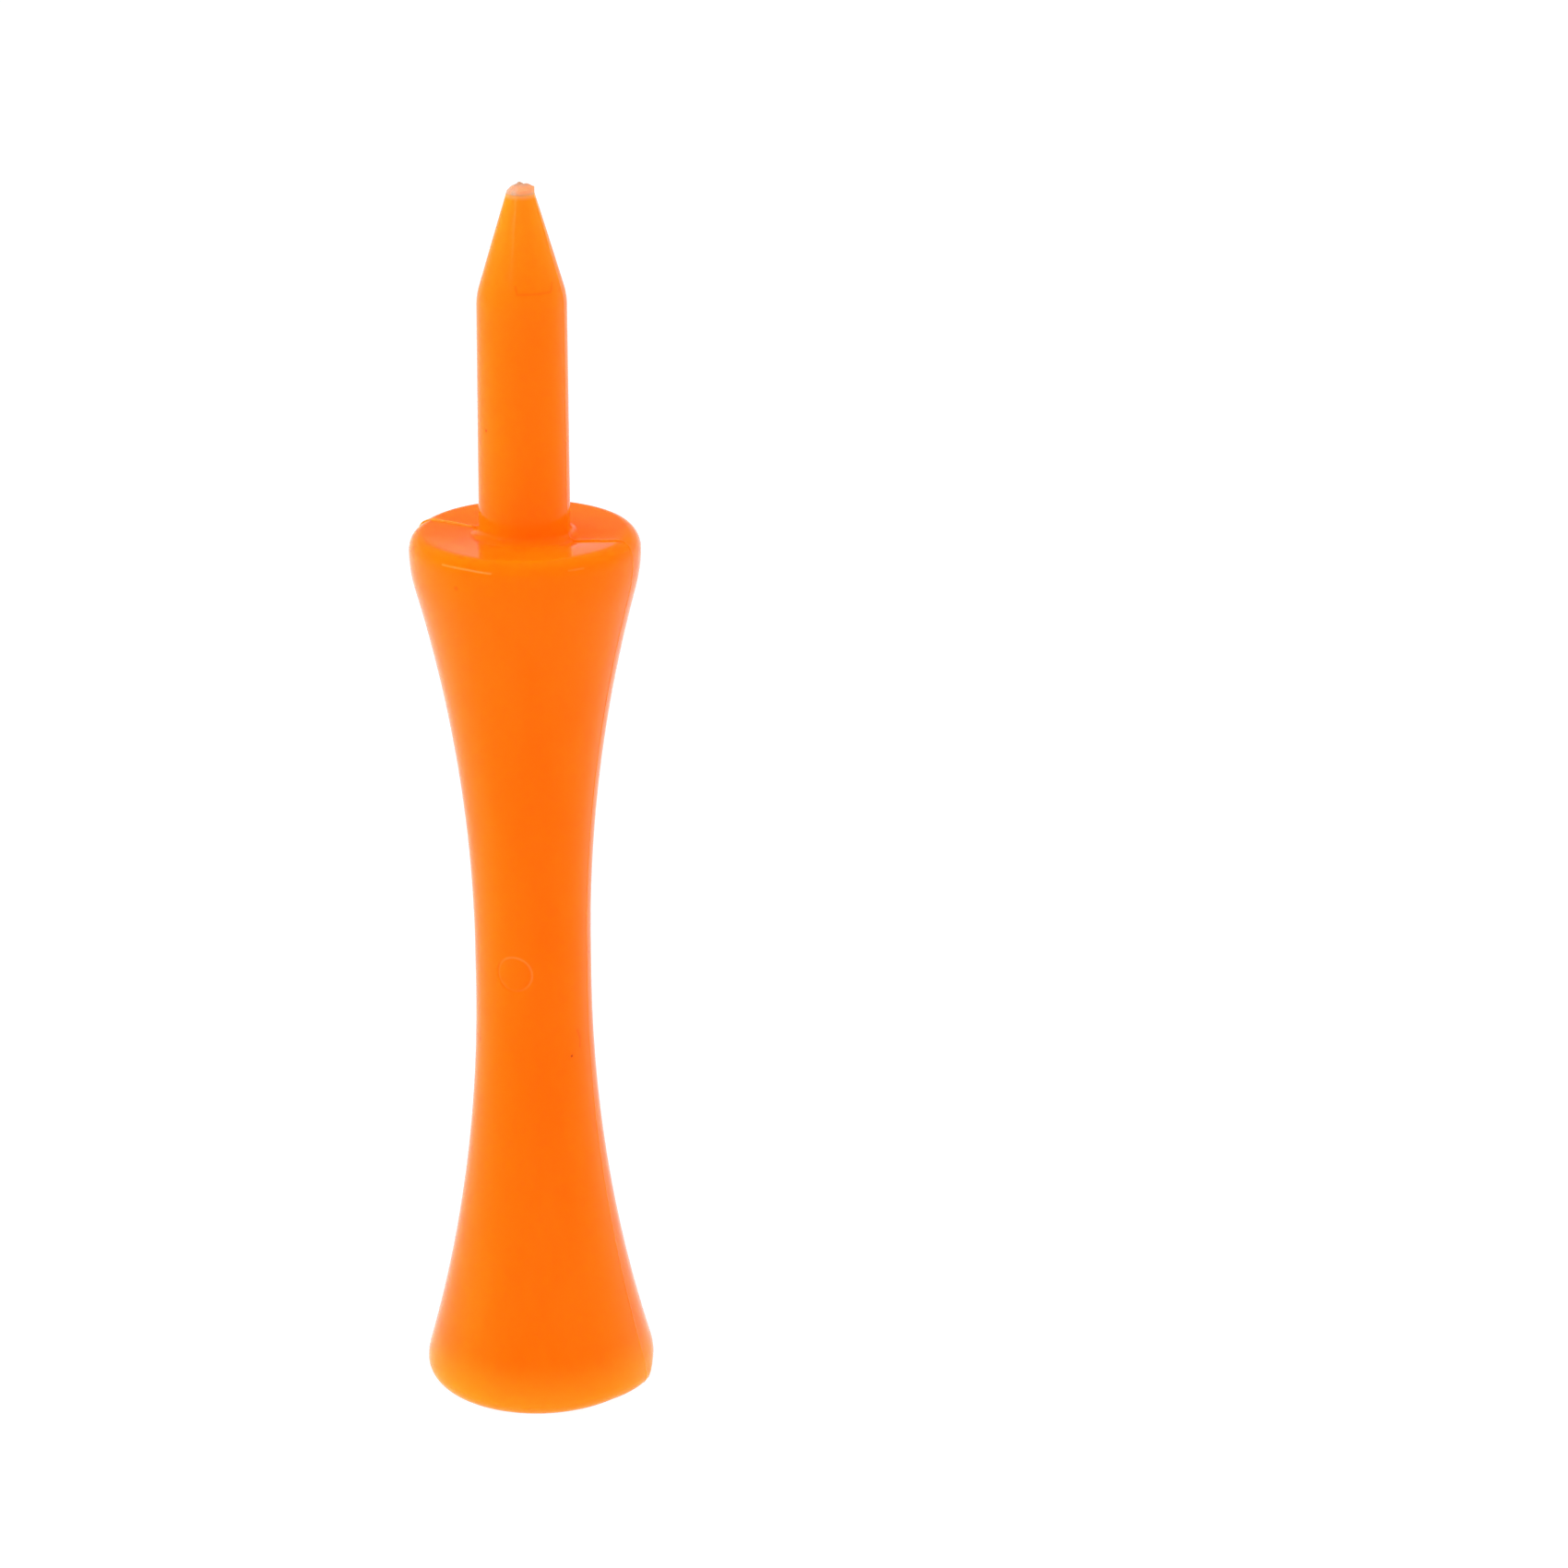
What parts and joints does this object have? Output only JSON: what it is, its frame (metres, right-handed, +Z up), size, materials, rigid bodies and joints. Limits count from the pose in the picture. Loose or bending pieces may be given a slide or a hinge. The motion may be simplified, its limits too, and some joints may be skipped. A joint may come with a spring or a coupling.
{
  "type": "step golf tee",
  "caption": "One-piece moulded step tee: ball cup, waisted stem, flat shoulder that sets the height, and a pointed spike.",
  "frame": {"origin": "centre of the ball cup's rim, in the plane that the tee stands on", "axes": "+Z up the axis from the ball cup to the spike's tip, as the tee stands upside down on its cup; +X and +Y are square to the axis, and the mould's parting plane holds Z and lies 20 degrees clockwise of +X seen from above"},
  "size_m": [0.013, 0.013, 0.0698],
  "materials": {
    "orange_plastic": "bright orange translucent polypropylene, waxy satin gloss from a polished mould",
    "torn_plastic": "the same plastic stress-whitened where the gate was torn off: rough, greyish pink"
  },
  "bodies": {
    "root": {"tee_moulding": "orange_plastic", "gate_vestige": "torn_plastic"}
  },
  "joints": []
}
